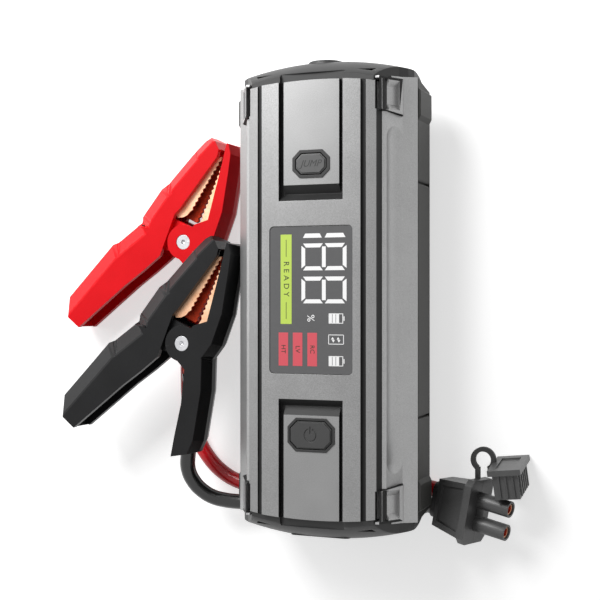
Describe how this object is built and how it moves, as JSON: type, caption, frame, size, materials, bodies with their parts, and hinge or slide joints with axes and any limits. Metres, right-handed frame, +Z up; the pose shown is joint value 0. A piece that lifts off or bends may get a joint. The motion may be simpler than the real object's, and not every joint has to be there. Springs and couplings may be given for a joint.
{
  "type": "jump starter pack",
  "caption": "A portable jump starter pack in a metallic shell with a display, two buttons and a torch, lying beside red and black battery clamps, their leads and a plug with a dust cap.",
  "frame": {"origin": "Middle of the pack's flat base, on the table.", "axes": "+Z is up out of the display side, +Y runs along the pack towards the torch end, +X completes the right-handed frame."},
  "size_m": [0.2749, 0.2528, 0.06],
  "materials": {
    "silver_paint": "satin",
    "graphite_plastic": "matte",
    "black_plastic": "matte",
    "red_plastic": "semi-gloss",
    "clamp_black_plastic": "semi-gloss",
    "display_glass": "gloss",
    "torch_glass": "gloss",
    "copper_plate": "bright",
    "steel": "satin",
    "reflector_chrome": "bright",
    "rubber": "matte",
    "red_rubber": "matte",
    "board_laminate": "satin",
    "cell_wrap": "gloss",
    "blue_plastic": "matte"
  },
  "bodies": {
    "pack": {"front_shell": "silver_paint", "back_shell": "graphite_plastic", "bumper_top_left": "silver_paint", "bumper_top_right": "silver_paint", "bumper_bottom_left": "silver_paint", "bumper_bottom_right": "silver_paint", "side_pads_left": "graphite_plastic", "side_pads_right": "graphite_plastic", "rubber_feet": "rubber", "rear_screws": "steel", "top_cap": "black_plastic", "bottom_cap": "black_plastic", "torch_bezel": "black_plastic", "torch_lens": "torch_glass", "torch_reflector": "reflector_chrome", "torch_led": "board_laminate", "cover_pin": "steel", "power_socket": "blue_plastic", "socket_contacts": "copper_plate", "usb_port": "steel", "screen_window": "display_glass", "display_module": "black_plastic", "key_frames": "black_plastic", "button_switches": "black_plastic", "circuit_board": "board_laminate", "battery_tray": "black_plastic", "battery_cells": "cell_wrap", "red_base": "red_plastic", "red_base_jaw": "copper_plate", "red_rivet": "steel", "red_spring": "steel", "black_base": "clamp_black_plastic", "black_base_jaw": "copper_plate", "black_rivet": "steel", "black_spring": "steel", "red_lead": "red_rubber", "black_lead": "rubber", "plug_top_shell": "black_plastic", "plug_bottom_shell": "black_plastic", "plug_tubes": "black_plastic", "plug_bullets": "copper_plate", "plug_gland": "rubber", "dust_cap": "black_plastic", "cap_strap": "rubber"},
    "red_jaw": {"red_grip": "red_plastic", "red_grip_jaw": "copper_plate"},
    "black_jaw": {"black_grip": "clamp_black_plastic", "black_grip_jaw": "copper_plate"},
    "start_key": {"jump_button": "black_plastic"},
    "power_key": {"power_button": "black_plastic"},
    "port_door": {"port_cover": "black_plastic"}
  },
  "joints": [
    {"name": "red_clamp_hinge", "type": "hinge", "parent": "pack", "child": "red_jaw", "pos_m": [-0.0935, 0.033, 0.01], "axis": [0, 0, 1], "range_deg": [0, 25], "stiffness_Nm_per_rad": 0.6, "springref_deg": -28.65},
    {"name": "black_clamp_hinge", "type": "hinge", "parent": "pack", "child": "black_jaw", "pos_m": [-0.084, -0.024, 0.0303], "axis": [0, 0, 1], "range_deg": [0, 25], "stiffness_Nm_per_rad": 0.6, "springref_deg": -28.65},
    {"name": "start_press", "type": "slide", "parent": "pack", "child": "start_key", "axis": [0, 0, -1], "range_m": [0, 0.0007], "stiffness_N_per_m": 900, "springref_m": -0.0005},
    {"name": "power_press", "type": "slide", "parent": "pack", "child": "power_key", "axis": [0, 0, -1], "range_m": [0, 0.0007], "stiffness_N_per_m": 900, "springref_m": -0.0005},
    {"name": "port_cover_hinge", "type": "hinge", "parent": "pack", "child": "port_door", "pos_m": [0, -0.1218, 0.0444], "axis": [-1, 0, 0], "range_deg": [0, 90]}
  ]
}
